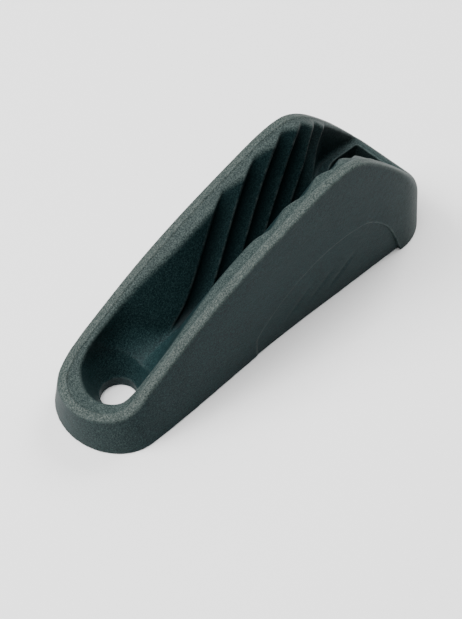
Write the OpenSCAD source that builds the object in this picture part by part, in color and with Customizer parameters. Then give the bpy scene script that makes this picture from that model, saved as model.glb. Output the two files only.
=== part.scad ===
// Open V-grip jam cleat for small rope, moulded in one piece.
// The nose points along -X, the rope's tail leaves over the rear at +X, and
// the foot rests on z = 0. Both sides are alike about the plane y = 0.

/* [Body] */
// Overall length of the foot
body_length = 66; // [62:0.5:72]
// Height of the two side walls at their peak
wall_height = 24.6; // [23.5:0.1:26]
// Height of the rim around the nose
nose_height = 6.1; // [5.6:0.1:6.8]
// Half of the foot's width at the nose
nose_half_width = 8.6; // [8.2:0.1:9.4]
// Half of the foot's width at the waist
waist_half_width = 7.6; // [7.4:0.05:8.0]
// Half of the foot's width at the rear
rear_half_width = 8.0; // [7.6:0.1:8.6]
// Half of the rim's outer width
rim_half_width = 6.85; // [6.7:0.05:7.2]

/* [Groove] */
// Half of the groove's width between the ribs at the rim
mouth_half_width = 4.3; // [4.0:0.05:4.5]
// Half of the groove's width at its bottom
root_half_width = 0.7; // [0.5:0.05:1.0]
// Height of the groove's bottom where its ramp begins
root_front_height = 5.8; // [5.4:0.1:6.2]
// Height of the saddle that the rope leaves over
saddle_height = 12.2; // [12:0.1:13]

/* [Ribs] */
// Number of ribs on each wall
rib_count = 6; // [4:1:6]
// Distance from rib to rib along the cleat
rib_pitch = 4.25; // [4:0.05:4.5]
// Angle of the ribs above the foot
rib_rise = 50; // [45:1:55]
// Depth of the channel behind each rib
rib_depth = 0.75; // [0.5:0.05:0.9]

/* [Fixing] */
// Distance between the two screw holes
hole_spacing = 46.7; // [46:0.1:47.4]
// Radius of each screw hole, for a 5 mm screw
hole_r = 2.6; // [2.5:0.05:2.75]
// Radius of the pocket for the front screw's head
pocket_r = 4.85; // [4.7:0.05:5]
// Thickness of the foot under the front screw's head
front_seat = 1.8; // [1.6:0.1:2.4]
// Radius and half-width of the well for the rear screw's head
well_r = 4.3; // [4.2:0.05:4.4]
// Thickness of the foot under the rear screw's head
rear_seat = 3; // [2:0.1:4]

/* [Details] */
// Half of the body's width between the two side recesses
recess_half_width = 7.2; // [7.1:0.05:7.3]
// Height of the side recess
recess_height = 11.5; // [10:0.1:12]
// Half-width of the hollows in the underside
core_half_width = 4.9; // [4:0.1:5]
// Thickness left between those hollows and the groove
core_skin = 2; // [1.8:0.1:2.6]

/* [Hidden] */
$fn = 96;

half_length = body_length / 2;
front_hole_x = -half_length + 8.6;
rear_hole_x = front_hole_x + hole_spacing;
sky = wall_height + 6;          // a height clear above the body
overlap = 0.5;                  // how far cutters reach past a face
over_rim = 2;                   // how far the groove's cutter rises past the rim

// The ends of the foot and of the rim are quarter ellipses. Each has its
// centre's x, its length along x and its half-width.
foot_nose = [-half_length + 7.2, 7.2, nose_half_width];
foot_rear = [half_length - 8, 8, rear_half_width];
rim_inset = 0.4;
rim_nose = [foot_nose[0], 7.2 - rim_inset, rim_half_width];
rim_rear = [foot_rear[0], 8 - rim_inset, rim_half_width];
arc_steps = 14;
side_steps = 26;

// The rim's height along the cleat, as [x, height, slope] knots
peak_x = 12;
rim_line = [
    [-half_length, nose_height, 0],
    [-29, nose_height + 0.1, 0.12],
    [-23.5, nose_height + 3.3, 0.62],
    [-14.5, 14.8, 0.54],
    [3, 22.3, 0.36],
    [peak_x, wall_height, 0],
    [18.6, 21.2, -0.88],
    [26.6, 13.1, -1.08],
    [30.6, 8.3, -1.4],
    [half_length, 3.6, -2.6]
];

// The groove along the cleat, each line as [x, value, slope] knots: its
// half-width at the rim, its half-width at its bottom and its bottom's height
ramp_x = -15.5;
root_rear_x = 13;
mouth_line = [
    [front_hole_x, pocket_r, 0],
    [ramp_x, mouth_half_width + 0.1, 0],
    [root_rear_x, mouth_half_width, 0],
    [19.5, mouth_half_width + 0.6, 0],
    [half_length + 2, mouth_half_width + 0.6, 0]
];
root_line = [
    [front_hole_x, pocket_r, 0],
    [front_hole_x + 2.8, pocket_r - 0.6, -0.45],
    [ramp_x, root_half_width, 0],
    [root_rear_x, root_half_width + 0.1, 0],
    [20, well_r + 0.2, 0],
    [half_length + 2, well_r + 0.3, 0]
];
floor_line = [
    [front_hole_x, front_seat, 0],
    [front_hole_x + 2.7, front_seat + 0.05, 0.1],
    [ramp_x, root_front_height, 0.35],
    [root_rear_x, saddle_height - 0.4, 0.2],
    [18, saddle_height, 0],
    [half_length + 2, saddle_height, 0]
];
groove_steps = 48;

// Where the first rib's ridge line passes the peak's height, and how much
// of the pitch a rib keeps
first_rib_x = 1.2;
rib_thickness = 1.1;

// The side recess's upper edge, as [x, height, slope] knots
recess_line = [
    [-5, 3.6, 0.9],
    [9, recess_height - 0.3, 0.2],
    [15.5, recess_height, -0.15],
    [20.4, recess_height - 3.4, -1.1],
    [24.6, -overlap, -2.8]
];

// The underside's three hollows, from x to x
cores = [[-16.6, -7.2], [-5.8, 3.8], [5.2, 13.6]];

// Smooth curve through [x, value, slope] knots
function hermite(k, x, i = 0) =
    i >= len(k) - 2 || x <= k[i + 1][0]
        ? let (a = k[i], b = k[i + 1], w = b[0] - a[0],
               t = max(0, min(1, (x - a[0]) / w)))
          a[1] * (2 * t * t * t - 3 * t * t + 1)
            + a[2] * w * (t * t * t - 2 * t * t + t)
            + b[1] * (3 * t * t - 2 * t * t * t)
            + b[2] * w * (t * t * t - t * t)
        : hermite(k, x, i + 1);

function rim_height(x) = hermite(rim_line, x);

// One side of an outline, from the nose's tip to the rear's tip
function half_outline(nose, waist, rear) = concat(
    [for (i = [0 : arc_steps])
        let (a = 90 * i / arc_steps)
        [nose[0] - nose[1] * cos(a), nose[2] * sin(a)]],
    [for (i = [1 : side_steps - 1])
        let (x = nose[0] + (rear[0] - nose[0]) * i / side_steps)
        [x, hermite([[nose[0], nose[2], 0], [6, waist, 0],
                     [rear[0], rear[2], 0]], x)]],
    [for (i = [0 : arc_steps])
        let (a = 90 * i / arc_steps)
        [rear[0] + rear[1] * sin(a), rear[2] * cos(a)]]);

// A closed ring of points from one side of an outline
function ring(side, height) = concat(
    [for (p = side) [p[0], p[1], height ? rim_height(p[0]) : 0]],
    [for (i = [len(side) - 2 : -1 : 1])
        [side[i][0], -side[i][1], height ? rim_height(side[i][0]) : 0]]);

// The body without its groove: foot outline below, rim outline above
module blank() {
    foot = half_outline(foot_nose, waist_half_width, foot_rear);
    rim = half_outline(rim_nose, rim_half_width, rim_rear);
    m = len(foot);
    n = 2 * m - 2;
    polyhedron(
        points = concat(ring(foot, false), ring(rim, true)),
        faces = concat(
            [[for (j = [n - 1 : -1 : 0]) j]],
            [for (j = [0 : n - 1]) [j, (j + 1) % n, n + (j + 1) % n]],
            [for (j = [0 : n - 1]) [j, n + (j + 1) % n, n + j]],
            [[n, n + 1, n + n - 1]],
            [for (i = [1 : m - 3])
                [n + i, n + i + 1, n + n - i - 1, n + n - i]],
            [[n + m - 2, n + m - 1, n + m]]));
}

// The V groove as one solid to cut away, widened by extra on each side
module groove_cutter(extra = 0) {
    from = front_hole_x;
    span = half_length + 2 - from;
    points = [for (i = [0 : groove_steps])
        let (x = from + span * i / groove_steps,
             mouth = hermite(mouth_line, x) + extra,
             root = hermite(root_line, x) + extra,
             low = hermite(floor_line, x),
             rim = rim_height(min(x, peak_x)),
             high = rim + over_rim,
             top = root + (mouth - root) * (high - low) / (rim - low))
        for (p = [[-root, low], [root, low], [top, high], [-top, high]])
            [x, p[0], p[1]]];
    end = 4 * groove_steps;
    polyhedron(
        points = points,
        faces = concat(
            [[0, 1, 2], [0, 2, 3]],
            [[end + 2, end + 1, end], [end + 3, end + 2, end]],
            [for (i = [0 : groove_steps - 1])
                for (k = [0 : 3])
                    let (a = 4 * i + k, b = 4 * i + (k + 1) % 4)
                    [a, a + 4, b + 4]],
            [for (i = [0 : groove_steps - 1])
                for (k = [0 : 3])
                    let (a = 4 * i + k, b = 4 * i + (k + 1) % 4)
                    [a, b + 4, b]]));
}

// The channels between the ribs, slanting down to the groove's bottom
module channels() {
    lean = (sky - root_front_height) / tan(rib_rise);
    top_x = (sky - wall_height) / tan(rib_rise);
    intersection() {
        groove_cutter(rib_depth);
        translate([0, rim_half_width, 0])
            rotate([90, 0, 0])
                linear_extrude(2 * rim_half_width)
                    for (k = [0 : rib_count - 2])
                        let (x = first_rib_x + k * rib_pitch + top_x,
                             w = rib_pitch - rib_thickness)
                        polygon([[x, sky], [x + w, sky],
                                 [x + w - lean, root_front_height],
                                 [x - lean, root_front_height]]);
    }
}

// A shallow arched recess in the outside of the +Y wall, open at the foot
module side_recess() {
    steps = 24;
    from = recess_line[0][0];
    span = recess_line[len(recess_line) - 1][0] - from;
    translate([0, recess_half_width + 4, 0])
        rotate([90, 0, 0])
            linear_extrude(4)
                polygon(concat(
                    [[from, -overlap]],
                    [for (i = [0 : steps])
                        let (x = from + span * i / steps)
                        [x, hermite(recess_line, x)]]));
}

// One hollow in the underside, its ceiling parallel to the groove's bottom
module core(from_x, to_x) {
    function ceiling(x) = root_front_height - core_skin
        + (x - ramp_x) * (saddle_height - root_front_height)
        / (root_rear_x - ramp_x);
    translate([0, core_half_width, 0])
        rotate([90, 0, 0])
            linear_extrude(2 * core_half_width)
                polygon([[from_x, -overlap], [to_x, -overlap],
                         [to_x, ceiling(to_x)], [from_x, ceiling(from_x)]]);
}

module screw_hole(x) {
    translate([x, 0, -overlap])
        cylinder(h = rear_seat + 2 * overlap, r = hole_r);
}

// Round at the front and square at the rear
module rear_well() {
    translate([rear_hole_x, 0, rear_seat])
        linear_extrude(sky) {
            circle(r = well_r);
            translate([0, -well_r])
                square([well_r, 2 * well_r]);
        }
}

module cleat_body() {
    color([0.13, 0.19, 0.19])
        difference() {
            blank();
            groove_cutter();
            translate([front_hole_x, 0, front_seat])
                cylinder(h = sky, r = pocket_r);
            screw_hole(front_hole_x);
            screw_hole(rear_hole_x);
            rear_well();
            channels();
            for (side = [0, 1])
                mirror([0, side, 0])
                    side_recess();
            for (c = cores)
                core(c[0], c[1]);
        }
}

cleat_body();
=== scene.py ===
"""Studio scene of an open V-grip jam cleat, one nylon moulding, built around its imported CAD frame.

The moulding is worked out as a field: the signed distance, in millimetres, from any point to its
surface. A net of small quads is drawn over the field's zero surface and each of its points is then
moved onto it. Edges are rounded as a mould rounds them. The shape fills the CAD's box but differs
from the CAD in the dimensions listed below.
"""

import math

import bpy
import numpy as np
from mathutils import Matrix, Vector


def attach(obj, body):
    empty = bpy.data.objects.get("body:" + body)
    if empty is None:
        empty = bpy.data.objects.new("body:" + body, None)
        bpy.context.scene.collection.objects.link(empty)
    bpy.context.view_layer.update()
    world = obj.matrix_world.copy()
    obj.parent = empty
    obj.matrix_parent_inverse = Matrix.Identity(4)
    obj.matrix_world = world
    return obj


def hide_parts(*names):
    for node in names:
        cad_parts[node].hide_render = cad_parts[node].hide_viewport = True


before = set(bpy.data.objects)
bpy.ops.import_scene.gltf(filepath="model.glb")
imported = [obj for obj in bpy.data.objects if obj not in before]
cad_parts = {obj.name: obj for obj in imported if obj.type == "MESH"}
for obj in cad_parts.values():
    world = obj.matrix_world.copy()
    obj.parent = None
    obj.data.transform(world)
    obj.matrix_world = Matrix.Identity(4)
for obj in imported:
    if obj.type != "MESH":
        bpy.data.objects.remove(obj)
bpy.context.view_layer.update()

MM = 0.001

# ---------------------------------------------------------------- dimensions in mm
# As in the CAD
BODY_LENGTH = 66
HALF_LENGTH = BODY_LENGTH / 2
WALL_HEIGHT = 24.6
NOSE_HEIGHT = 6.1
NOSE_HALF_WIDTH = 8.6
REAR_HALF_WIDTH = 8.0
ROOT_HALF_WIDTH = 0.7
ROOT_FRONT_HEIGHT = 5.8
RIB_COUNT = 6
RIB_PITCH = 4.25
FIRST_RIB_X = 1.2        # where the first rib's ridge passes the peak's height
FRONT_HOLE_X = -HALF_LENGTH + 8.6
REAR_HOLE_X = FRONT_HOLE_X + 46.7
HOLE_R = 2.6
POCKET_R = 4.85
FRONT_SEAT = 1.8
REAR_SEAT = 3.0

# Unlike the CAD, which has the value in each comment
WAIST_HALF_WIDTH = 7.5   # 7.6
WAIST_X = 1.0            # 6
RIM_HALF_WIDTH = 6.95    # 6.85
MOUTH_HALF_WIDTH = 4.15  # 4.3
SADDLE_HEIGHT = 12.0     # 12.2
WELL_R = 4.2             # 4.3
RIB_DEPTH = 1.0          # 0.75, the depth of the channel behind each rib
COUNTERSINK_R = 2.75     # none: the front seat's cone opens from this radius
COUNTERSINK_SLOPE = 0.52
POCKET_HEIGHT = 4.6      # none: the height of the pocket's lip at the nose
FRONT_FLOOR = 4.0        # 1.8, the groove's floor behind the front screw

# Each end's centre along x, its length and its half-width, at the foot
FOOT_NOSE = (-HALF_LENGTH + 7.2, 7.2, NOSE_HALF_WIDTH)
FOOT_REAR = (HALF_LENGTH - 8, 8.0, REAR_HALF_WIDTH)
RIM_INSET = 0.4
PEAK_X = 12.0
RAMP_X = -15.5
ROOT_REAR_X = 13.0

# Lines along the cleat, each as knots of x, value and slope. The mouth, root and floor lines have
# other knots than the CAD's.
RIM_LINE = [
    (-HALF_LENGTH, NOSE_HEIGHT, 0), (-29, NOSE_HEIGHT + 0.1, 0.12), (-23.5, NOSE_HEIGHT + 3.3, 0.62),
    (-14.5, 14.8, 0.54), (3, 22.3, 0.36), (PEAK_X, WALL_HEIGHT, 0), (18.6, 21.2, -0.88),
    (26.6, 13.1, -1.08), (30.6, 8.3, -1.4), (HALF_LENGTH, 3.6, -2.6)]
FOOT_LINE = [
    (FOOT_NOSE[0], NOSE_HALF_WIDTH, 0), (WAIST_X, WAIST_HALF_WIDTH, 0),
    (FOOT_REAR[0], REAR_HALF_WIDTH, 0)]
MOUTH_LINE = [
    (FRONT_HOLE_X, POCKET_R + 0.05, 0.02), (-17, POCKET_R + 0.15, -0.05),
    (-9, MOUTH_HALF_WIDTH + 0.1, -0.05), (ROOT_REAR_X, MOUTH_HALF_WIDTH, 0),
    (19.5, MOUTH_HALF_WIDTH + 0.1, 0), (HALF_LENGTH + 2, MOUTH_HALF_WIDTH + 0.1, 0)]
ROOT_LINE = [
    (FRONT_HOLE_X, POCKET_R - 0.1, 0), (FRONT_HOLE_X + 3, POCKET_R - 0.7, -0.5),
    (RAMP_X, ROOT_HALF_WIDTH, -0.3), (ROOT_REAR_X, ROOT_HALF_WIDTH + 0.1, 0),
    (20, WELL_R + 0.2, 0), (HALF_LENGTH + 2, WELL_R + 0.3, 0)]
FLOOR_LINE = [
    (FRONT_HOLE_X, FRONT_FLOOR, 0), (FRONT_HOLE_X + 3, FRONT_FLOOR + 0.2, 0.15),
    (RAMP_X, ROOT_FRONT_HEIGHT, 0.3), (ROOT_REAR_X, SADDLE_HEIGHT - 0.4, 0.2), (18, SADDLE_HEIGHT, 0),
    (HALF_LENGTH + 2, SADDLE_HEIGHT, 0)]
RECESS_LINE = [
    (-5, 3.6, 0.9), (9, 11.2, 0.2), (15.5, 11.5, -0.15), (20.4, 8.1, -1.1), (24.6, -0.5, -2.8)]
# The first rib's ridge, as knots of height, x and lean
RIB_LINE = [(5.8, -15.5, 1.6), (10.1, -10.4, 0.9), (WALL_HEIGHT, FIRST_RIB_X, 0.84)]

CORES = [(-16.6, -7.2), (-5.8, 3.8), (5.2, 13.6)]   # the hollows in the underside, from x to x
CORE_HALF_WIDTH = 4.9
CORE_SKIN = 2.0
# The half-width between the recesses: the CAD has 7.2 all along
RECESS_PLANE = [(-5, 7.62, -0.03), (6, 7.35, 0), (24.6, 7.35, 0)]

# Moulding detail that the CAD leaves out
RIB_DROP = 0.42          # share of the pitch over which a rib falls away behind its ridge
RIM_DROP = 0.46          # the same at the rim, where the ridges run out softly
RIM_FADE = 5.0           # distance below the rim over which the channels reach full depth
RIM_RIB_SHARE = 0.75     # share of their depth that the channels have at the rim
CHANNEL_FLOOR = 0.04     # share of the pitch at full depth, between a rib's two flanks
LEDGE_INSET = 1.15       # a fine ledge on the rim runs this far inside the outer wall
LEDGE_WIDTH = 0.3
LEDGE_DROP = 0.13
RIM_OUTER = 0.10         # slopes of the rim outside and inside its ledge
RIM_INNER = 0.26
LIP_FLARE = 0.55         # slope of the front pocket's lip
FLUTE_DEPTH = 0.13
FLUTE_STARTS = (3.4, 7.6, 11.8)          # where along x the middle of each flute lies
FLUTE_HEIGHT = 4.6                       # how high it lies
FLUTE_TURN = (0.8, 0.6)                  # cosine and sine of the flutes' lean
FLUTE_HALF_WIDTH = 0.9
FLUTE_HALF_LENGTH = 4.4
FLUTE_FADE = 3
EDGE = 0.36              # roundings
SOFT_EDGE = 1.6
FINE_EDGE = 0.22

EDGE_BEND = 0.8          # bend that counts as a full edge, for each mm
STEP = 0.2       # size of the net's cells


# ---------------------------------------------------------------- the moulding as a field
def along(line, x):
    """Smooth curve through knots of position, value and slope, level past its ends."""
    knots = np.array(line, float)
    x = np.clip(x, knots[0, 0], knots[-1, 0])
    i = np.clip(np.searchsorted(knots[:, 0], x, side="right") - 1, 0, len(knots) - 2)
    a, b = knots[i], knots[i + 1]
    width = b[..., 0] - a[..., 0]
    t = (x - a[..., 0]) / width
    return (a[..., 1] * (2 * t**3 - 3 * t**2 + 1) + a[..., 2] * width * (t**3 - 2 * t**2 + t)
            + b[..., 1] * (3 * t**2 - 2 * t**3) + b[..., 2] * width * (t**3 - t**2))


def steepness(line, x):
    """Length of the line's own path for each unit of x, to turn a height over it into a distance."""
    rise = (along(line, x + 0.05) - along(line, x - 0.05)) / 0.1
    return np.sqrt(1 + rise**2)


def smooth_max(a, b, r):
    h = np.maximum(r - np.abs(a - b), 0) / r
    return np.maximum(a, b) + h * h * r / 4


def smooth_min(a, b, r):
    return -smooth_max(-a, -b, r)


def smoothstep(t):
    t = np.clip(t, 0, 1)
    return t * t * (3 - 2 * t)


def elliptic(dx, y, length, width):
    """Distance from a quarter ellipse's outline, close to it."""
    u, v = dx / length, y / width
    k = np.sqrt(u * u + v * v) + 1e-9
    return (k - 1) * k / (np.sqrt((u / length) ** 2 + (v / width) ** 2) + 1e-9)


def outer_wall(x, y, z, rim):
    """Distance outside the wall that tapers from the foot's outline to the rim's."""
    t = np.clip(z / rim, 0, 1)
    side = y - (along(FOOT_LINE, x) * (1 - t) + RIM_HALF_WIDTH * t)
    ends = []
    for centre, length, width in (FOOT_NOSE, FOOT_REAR):
        ends.append(elliptic(x - centre, y, length - RIM_INSET * t,
                             width * (1 - t) + RIM_HALF_WIDTH * t))
    return np.where(x < FOOT_NOSE[0], ends[0], np.where(x > FOOT_REAR[0], ends[1], side))


def rim_top(x, wall, rim):
    """Height of the rim's top: a shallow roof with a fine ledge that follows the outer wall."""
    inset = -wall - LEDGE_INSET
    slope = np.where(inset > 0, RIM_INNER * inset, -RIM_OUTER * inset)
    fall = slope + LEDGE_DROP * smoothstep(inset / LEDGE_WIDTH)
    return rim - np.minimum(fall, 1.2) * smoothstep((25 - x) / 6)


def rib_channel(x, z, rim):
    """How far the groove's wall is set back behind the ridges of its ribs."""
    u = (x - along(RIB_LINE, z)) / RIB_PITCH
    phase = u - np.floor(u)
    below = smoothstep((rim - z) / RIM_FADE)
    share = RIM_DROP + (RIB_DROP - RIM_DROP) * below
    drop = smoothstep(phase / share)
    rise = (1 - phase) / (1 - share - CHANNEL_FLOOR)
    profile = smooth_min(drop, rise, 0.2)
    last = smoothstep((u - RIB_COUNT + 1) / share)
    profile = np.where(u < 0, 0, np.where(u > RIB_COUNT - 1, last, np.maximum(profile, 0)))
    return RIB_DEPTH * profile * (RIM_RIB_SHARE + (1 - RIM_RIB_SHARE) * below)


def groove(x, y, z, rim):
    """Distance outside the V groove's hollow."""
    high = np.where(x < PEAK_X, rim, WALL_HEIGHT)
    low = along(FLOOR_LINE, x)
    root, mouth = along(ROOT_LINE, x), along(MOUTH_LINE, x)
    lean = (mouth - root) / (high - low)
    wall = root + lean * np.maximum(z - low, 0) + rib_channel(x, z, rim)
    side = (y - wall) / np.sqrt(1 + lean**2)
    floor = (low - z) / steepness(FLOOR_LINE, x)
    front = FRONT_HOLE_X - x
    hollow = 0.9 + 3.6 * smoothstep((RAMP_X + 1 - x) / 5)
    return smooth_max(smooth_max(side, floor, hollow), front, FINE_EDGE)


def front_pocket(x, y, z):
    """Distance outside the pocket around the front screw, flared at its lip."""
    r = np.hypot(x - FRONT_HOLE_X, y)
    over = z - POCKET_HEIGHT
    lip = LIP_FLARE * np.clip(over, 0, 1.6) * smoothstep((FRONT_HOLE_X - 1.2 - x) / 3)
    cone = ((r - COUNTERSINK_R - COUNTERSINK_SLOPE * (z - FRONT_SEAT))
            / math.hypot(1, COUNTERSINK_SLOPE))
    return smooth_max(smooth_max(r - POCKET_R - lip, cone, 0.8), FRONT_SEAT - z, FINE_EDGE)


def rear_well(x, y, z):
    """Distance outside the well around the rear screw: round in front, square behind."""
    dx = x - REAR_HOLE_X
    square = smooth_max(y - WELL_R, dx - WELL_R, 0.6)
    plan = np.where(dx < 0, np.hypot(dx, y) - WELL_R, square)
    return smooth_max(plan, REAR_SEAT - z, FINE_EDGE)


def side_recess(x, y, z):
    """Distance outside the shallow arched panel in the outer wall, with its three flutes."""
    arch = (z - along(RECESS_LINE, x)) / steepness(RECESS_LINE, x)
    arch = smooth_max(arch, -5 - x, 0.6)
    depth = 0
    lean_x, lean_z = FLUTE_TURN
    for start in FLUTE_STARTS:
        across = (z - FLUTE_HEIGHT) * lean_x - (x - start) * lean_z
        run = (x - start) * lean_x + (z - FLUTE_HEIGHT) * lean_z
        depth = depth + (smoothstep(1 - np.abs(across) / FLUTE_HALF_WIDTH)
                         * smoothstep((FLUTE_HALF_LENGTH - np.abs(run)) / FLUTE_FADE))
    plane = along(RECESS_PLANE, x) - FLUTE_DEPTH * depth
    return smooth_max(plane - y, arch, 0.12)


def underside(x, y, z):
    """Distance outside the hollows in the underside."""
    ceiling = (ROOT_FRONT_HEIGHT - CORE_SKIN
               + (x - RAMP_X) * (SADDLE_HEIGHT - ROOT_FRONT_HEIGHT) / (ROOT_REAR_X - RAMP_X))
    hollow = np.full(np.shape(x), 1e3)
    for start, end in CORES:
        ends = np.abs(x - (start + end) / 2) - (end - start) / 2
        plan = smooth_max(ends, y - CORE_HALF_WIDTH, 1.0)
        hollow = np.minimum(hollow, smooth_max(plan, z - ceiling, 0.6))
    return hollow


def cleat_field(x, y, z):
    """Signed distance to the moulding's surface, below zero inside it. Both sides are alike."""
    y = np.abs(y)
    rim = along(RIM_LINE, x)
    wall = outer_wall(x, y, z, rim)
    wall = smooth_max(wall, -side_recess(x, y, z), 0.1 + 0.4 * smoothstep((17 - x) / 10))
    top = (z - rim_top(x, wall, rim)) / steepness(RIM_LINE, x)
    edge = EDGE + (SOFT_EDGE - EDGE) * smoothstep((x - 22) / 6)
    body = smooth_max(wall, top, edge)
    body = smooth_max(body, -z, 0.2)
    hollow = smooth_min(groove(x, y, z, rim), front_pocket(x, y, z), 0.15)
    hollow = smooth_min(hollow, rear_well(x, y, z), 0.08)
    body = smooth_max(body, -hollow, 0.45)
    for hole_x in (FRONT_HOLE_X, REAR_HOLE_X):
        body = smooth_max(body, HOLE_R - np.hypot(x - hole_x, y), FINE_EDGE)
    return smooth_max(body, -underside(x, y, z), FINE_EDGE)


# ---------------------------------------------------------------- from the field to a mesh
def field_grid():
    """The field on a grid of nodes around the moulding, and the grid's first node."""
    reach = np.array([HALF_LENGTH, NOSE_HALF_WIDTH, WALL_HEIGHT])
    margin = 2.5 * STEP
    x = np.arange(-reach[0] - margin, reach[0] + margin + STEP, STEP)
    y = np.arange(STEP / 2, reach[1] + margin + STEP, STEP)
    z = np.arange(-margin, reach[2] + margin + STEP, STEP)
    half = cleat_field(x[:, None, None], y[None, :, None], z[None, None, :])
    whole = np.concatenate([half[:, ::-1], half], axis=1)
    return whole, np.array([x[0], -y[-1], z[0]])


def surface_net(field, first):
    """Points and quads over the field's zero surface, one point in each cell that it crosses."""
    inside = field < 0
    shape = np.array(field.shape) - 1
    corners = np.array([(i, j, k) for i in (0, 1) for j in (0, 1) for k in (0, 1)])
    count = sum(inside[i:i + shape[0], j:j + shape[1], k:k + shape[2]].astype(np.int8)
                for i, j, k in corners)
    cells = np.argwhere((count > 0) & (count < 8))
    number = np.full(shape, -1)
    number[tuple(cells.T)] = np.arange(len(cells))
    total, hits = np.zeros((len(cells), 3)), np.zeros(len(cells))
    for a in corners:
        for axis in range(3):
            if a[axis]:
                continue
            b = a + np.eye(3, dtype=int)[axis]
            fa, fb = field[tuple((cells + a).T)], field[tuple((cells + b).T)]
            cut = (fa < 0) != (fb < 0)
            t = np.where(cut, fa / np.where(cut, fa - fb, 1), 0)
            total += cut[:, None] * (a + t[:, None] * (b - a))
            hits += cut
    points = first + STEP * (cells + total / hits[:, None])
    quads = []
    for axis in range(3):
        e0, e1, e2 = np.roll(np.eye(3, dtype=int), -axis, axis=0)
        here = np.argwhere(inside != np.roll(inside, -1, axis))
        here = here[(here > 0).all(1) & (here < shape).all(1)]
        ring = [here - e1 - e2, here - e2, here, here - e1]
        quad = np.stack([number[tuple(c.T)] for c in ring], 1)
        out = inside[tuple(here.T)]
        quads.append(np.where(out[:, None], quad, quad[:, ::-1]))
    return points, np.concatenate(quads)


def slope_at(points):
    """The field and its gradient at each point."""
    value = cleat_field(*points.T)
    h = 0.01
    grad = np.stack([(cleat_field(*(points + h * e).T) - cleat_field(*(points - h * e).T)) / (2 * h)
                     for e in np.eye(3)], 1)
    return value, grad


def settle(points, quads):
    """Evens out the net and moves its points onto the zero surface."""
    pairs = np.concatenate([quads[:, [i, (i + 1) % 4]] for i in range(4)])
    pairs = np.concatenate([pairs, pairs[:, ::-1]])
    degree = np.bincount(pairs[:, 0], minlength=len(points))[:, None]
    for even in (0.5, 0.5, 0.3, 0, 0):
        if even:
            mean = np.stack([np.bincount(pairs[:, 0], points[pairs[:, 1], k], len(points))
                             for k in range(3)], 1) / degree
            _, grad = slope_at(points)
            normal = grad / np.linalg.norm(grad, axis=1)[:, None]
            move = even * (mean - points)
            points = points + move - normal * (move * normal).sum(1)[:, None]
        value, grad = slope_at(points)
        shift = (value / (grad**2).sum(1))[:, None] * grad
        size = np.linalg.norm(shift, axis=1)[:, None]
        points = points - shift * np.minimum(1, STEP / np.maximum(size, 1e-9))
    return points


def edge_share(points, quads, normals):
    """How sharply the surface bends outward at each point, from 0 to 1."""
    pairs = np.concatenate([quads[:, [i, (i + 1) % 4]] for i in range(4)])
    pairs = np.concatenate([pairs, pairs[:, ::-1]])
    degree = np.bincount(pairs[:, 0], minlength=len(points))
    inward = sum(normals[:, k] * (points[:, k] - np.bincount(
        pairs[:, 0], points[pairs[:, 1], k], len(points)) / degree) for k in range(3))
    return np.clip(inward / (EDGE_BEND * STEP**2), 0, 1)


def pale_share(points):
    """How pale each point is, from 0 to 1: the rim's top, from wear and partly painted light, then both
    ends.

    The ends stand in for the light that they catch, not for a known change of colour.
    """
    x, y, z = points[:, 0], np.abs(points[:, 1]), points[:, 2]
    rim = along(RIM_LINE, x)
    wall = outer_wall(x, y, z, rim)
    top = (z - rim_top(x, wall, rim)) / steepness(RIM_LINE, x)
    # Painted light: both ends are paler for the light that they catch.
    ends = 0.3 * smoothstep((x - 19) / 10) + 0.25 * smoothstep((-26 - x) / 5)
    return np.maximum(
        smoothstep(1 + top / 0.45) * (1 - 0.4 * smoothstep((-wall - LEDGE_INSET) / 0.4)), ends)


def channel_shade_share(points):
    """How deep each point lies in a channel between the ribs, from 0 to 1, for the painted shade there.
    """
    x, y, z = points[:, 0], np.abs(points[:, 1]), points[:, 2]
    rim = along(RIM_LINE, x)
    inner = smoothstep((MOUTH_HALF_WIDTH + RIB_DEPTH + 0.3 - y) / 0.3) * smoothstep((rim - z - 0.6) / 2)
    last = smoothstep(RIB_COUNT - 1 - (x - along(RIB_LINE, z)) / RIB_PITCH)
    return inner * last * smoothstep(rib_channel(x, z, rim) / RIB_DEPTH)


def make_moulding():
    """The cleat as one mesh in metres, shaded by the field's own normals."""
    points, quads = surface_net(*field_grid())
    points = settle(points, quads)
    _, grad = slope_at(points)
    mesh = bpy.data.meshes.new("cleat_moulding")
    mesh.from_pydata((points * MM).tolist(), [], quads.tolist())
    mesh.shade_smooth()
    normals = grad / np.linalg.norm(grad, axis=1)[:, None]
    mesh.normals_split_custom_set_from_vertices(normals.tolist())
    for name, share in (("pale", pale_share(points)), ("edge", edge_share(points, quads, normals)),
                        ("channel", channel_shade_share(points))):
        mask = mesh.attributes.new(name, "FLOAT", "POINT")
        mask.data.foreach_set("value", share.astype(np.float32))
    piece = bpy.data.objects.new("cleat_moulding", mesh)
    bpy.context.scene.collection.objects.link(piece)
    return piece


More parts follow.
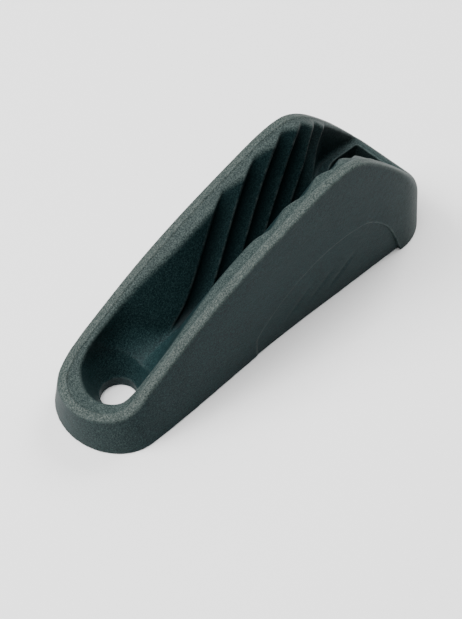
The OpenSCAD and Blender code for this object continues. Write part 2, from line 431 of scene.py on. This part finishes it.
# ---------------------------------------------------------------- materials
class Nodes:
    """Short calls for building one material."""

    def __init__(self, name):
        self.material = bpy.data.materials.new(name)
        self.material.use_nodes = True
        self.tree = self.material.node_tree
        self.shader = self.tree.nodes["Principled BSDF"]

    def add(self, kind, settings=None, **inputs):
        node = self.tree.nodes.new(kind)
        for name, value in (settings or {}).items():
            setattr(node, name, value)
        for name, value in inputs.items():
            self.put(node.inputs[name.replace("_", " ")], value)
        return node

    def put(self, socket, value):
        if isinstance(value, bpy.types.NodeSocket):
            self.tree.links.new(value, socket)
        else:
            socket.default_value = value

    def noise(self, size, detail=2.0, roughness=0.5):
        """A noise whose features are about size metres wide."""
        place = self.add("ShaderNodeTexCoord").outputs["Object"]
        node = self.add("ShaderNodeTexNoise", Vector=place, Scale=1 / size, Detail=detail,
                        Roughness=roughness)
        return node.outputs["Fac"]

    def spread(self, value, low, high):
        """Stretches low..high of a value to 0..1."""
        node = self.add("ShaderNodeMapRange", Value=value)
        node.inputs["From Min"].default_value = low
        node.inputs["From Max"].default_value = high
        return node.outputs["Result"]

    def mix(self, fac, a, b):
        node = self.add("ShaderNodeMix", {"data_type": "RGBA"})
        self.put(node.inputs[0], fac)
        self.put(node.inputs[6], a)
        self.put(node.inputs[7], b)
        return node.outputs[2]

    def calc(self, a, b, operation="ADD"):
        node = self.add("ShaderNodeMath", {"operation": operation})
        self.put(node.inputs[0], a)
        self.put(node.inputs[1], b)
        return node.outputs[0]


def nylon():
    """Matt charcoal nylon: fine glass-fibre speckle, soft mottling and a paler, drier rim.

    The dark channels and pale ends stand in for shade and light: the real nylon is likely one colour.
    """
    n = Nodes("charcoal_nylon")
    pale = n.add("ShaderNodeAttribute", {"attribute_name": "pale"}).outputs["Fac"]
    edge = n.add("ShaderNodeAttribute", {"attribute_name": "edge"}).outputs["Fac"]
    channel = n.add("ShaderNodeAttribute", {"attribute_name": "channel"}).outputs["Fac"]
    speckle = n.spread(n.noise(0.00017, 3, 0.75), 0.42, 0.68)
    mottle = n.spread(n.noise(0.0035, 3), 0.35, 0.65)
    dark = n.mix(mottle, (0.0010, 0.0062, 0.0078, 1), (0.0022, 0.0092, 0.0108, 1))
    wall = n.mix(speckle, dark, (0.0170, 0.0390, 0.0400, 1))
    # Painted shade: the channels between the ribs are darkened where deep shade falls.
    wall = n.mix(n.calc(channel, 0.85, "MULTIPLY"), wall, (0.0008, 0.0050, 0.0060, 1))
    # The rim's top is paler from wear and partly as painted light; both ends are paler as painted
    # light.
    worn_and_lit = n.mix(speckle, (0.0150, 0.0250, 0.0245, 1), (0.1150, 0.1310, 0.1180, 1))
    shown = n.mix(n.calc(pale, 0.85, "MULTIPLY"), wall, worn_and_lit)
    # Outward edges are paler: edge wear, and partly a painted highlight along the ridges.
    edge_wear_and_highlight = n.calc(n.calc(edge, n.spread(n.noise(0.0012, 2), 0.35, 0.6), "MULTIPLY"), 0.55, "MULTIPLY")
    n.put(n.shader.inputs["Base Color"], n.mix(edge_wear_and_highlight, shown, (0.0650, 0.0850, 0.0820, 1)))
    n.put(n.shader.inputs["Roughness"], n.calc(n.calc(speckle, 0.16, "MULTIPLY"), 0.50))
    grain = n.calc(n.noise(0.00030, 3, 0.65), n.noise(0.0009, 2), "ADD")
    bump = n.add("ShaderNodeBump", Strength=0.35, Distance=0.00012, Height=grain)
    n.put(n.shader.inputs["Normal"], bump.outputs["Normal"])
    n.shader.inputs["Specular IOR Level"].default_value = 0.08
    return n.material


def floor_finish():
    n = Nodes("studio_floor")
    tone = n.spread(n.noise(0.4, 1), 0.3, 0.7)
    n.put(n.shader.inputs["Base Color"], n.mix(tone, (0.90, 0.90, 0.90, 1), (0.92, 0.92, 0.92, 1)))
    n.shader.inputs["Roughness"].default_value = 0.9
    return n.material


# ---------------------------------------------------------------- stage, lights and camera
def make_floor():
    mesh = bpy.data.meshes.new("floor")
    reach = 3.0
    mesh.from_pydata([(-reach, -reach, 0), (reach, -reach, 0), (reach, reach, 0), (-reach, reach, 0)],
                     [], [(0, 1, 2, 3)])
    mesh.materials.append(floor_finish())
    floor = bpy.data.objects.new("floor", mesh)
    floor.location.z = -0.00002
    bpy.context.scene.collection.objects.link(floor)


def make_world():
    world = bpy.data.worlds.new("studio")
    world.use_nodes = True
    background = world.node_tree.nodes["Background"]
    background.inputs["Color"].default_value = (1, 1, 1, 1)
    background.inputs["Strength"].default_value = 0.16
    bpy.context.scene.world = world


def soft_light(name, azimuth, elevation, size, power, aim=(0, 0, 0.01), distance=0.6):
    """A square soft box. Its azimuth is measured as the camera's is."""
    a, e = math.radians(azimuth), math.radians(elevation)
    back = Vector((-math.sin(a) * math.cos(e), -math.cos(a) * math.cos(e), math.sin(e)))
    data = bpy.data.lights.new(name, "AREA")
    data.size = size
    data.energy = power
    lamp = bpy.data.objects.new(name, data)
    lamp.location = Vector(aim) + back * distance
    lamp.rotation_euler = back.to_track_quat("Z", "Y").to_euler()
    bpy.context.scene.collection.objects.link(lamp)


def make_camera():
    """The catalogue view: over the nose, from the near side."""
    azimuth, elevation = math.radians(43.5), math.radians(50.87)
    distance = 0.2019
    aim = Vector((-0.0033, 0, 0))
    right = Vector((math.cos(azimuth), -math.sin(azimuth), 0))
    back = Vector((-math.sin(azimuth) * math.cos(elevation),
                   -math.cos(azimuth) * math.cos(elevation), math.sin(elevation)))
    up = back.cross(right)
    data = bpy.data.cameras.new("camera")
    data.lens = 81.34
    data.sensor_width = 36
    data.shift_x, data.shift_y = 0.001, 0.0146
    data.clip_start = 0.01
    camera = bpy.data.objects.new("camera", data)
    turn = Matrix((right, up, back)).transposed().to_4x4()
    camera.matrix_world = Matrix.Translation(aim + back * distance) @ turn
    bpy.context.scene.collection.objects.link(camera)
    bpy.context.scene.camera = camera


make_camera()
make_world()
make_floor()
soft_light("key_left", 125, 46, 0.30, 5.0)
soft_light("top", 100, 78, 0.40, 4.6)
soft_light("rear_fill", -100, 42, 0.35, 3.6)

moulding = make_moulding()
moulding.data.materials.append(nylon())
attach(moulding, "root")
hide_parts("cleat_body")
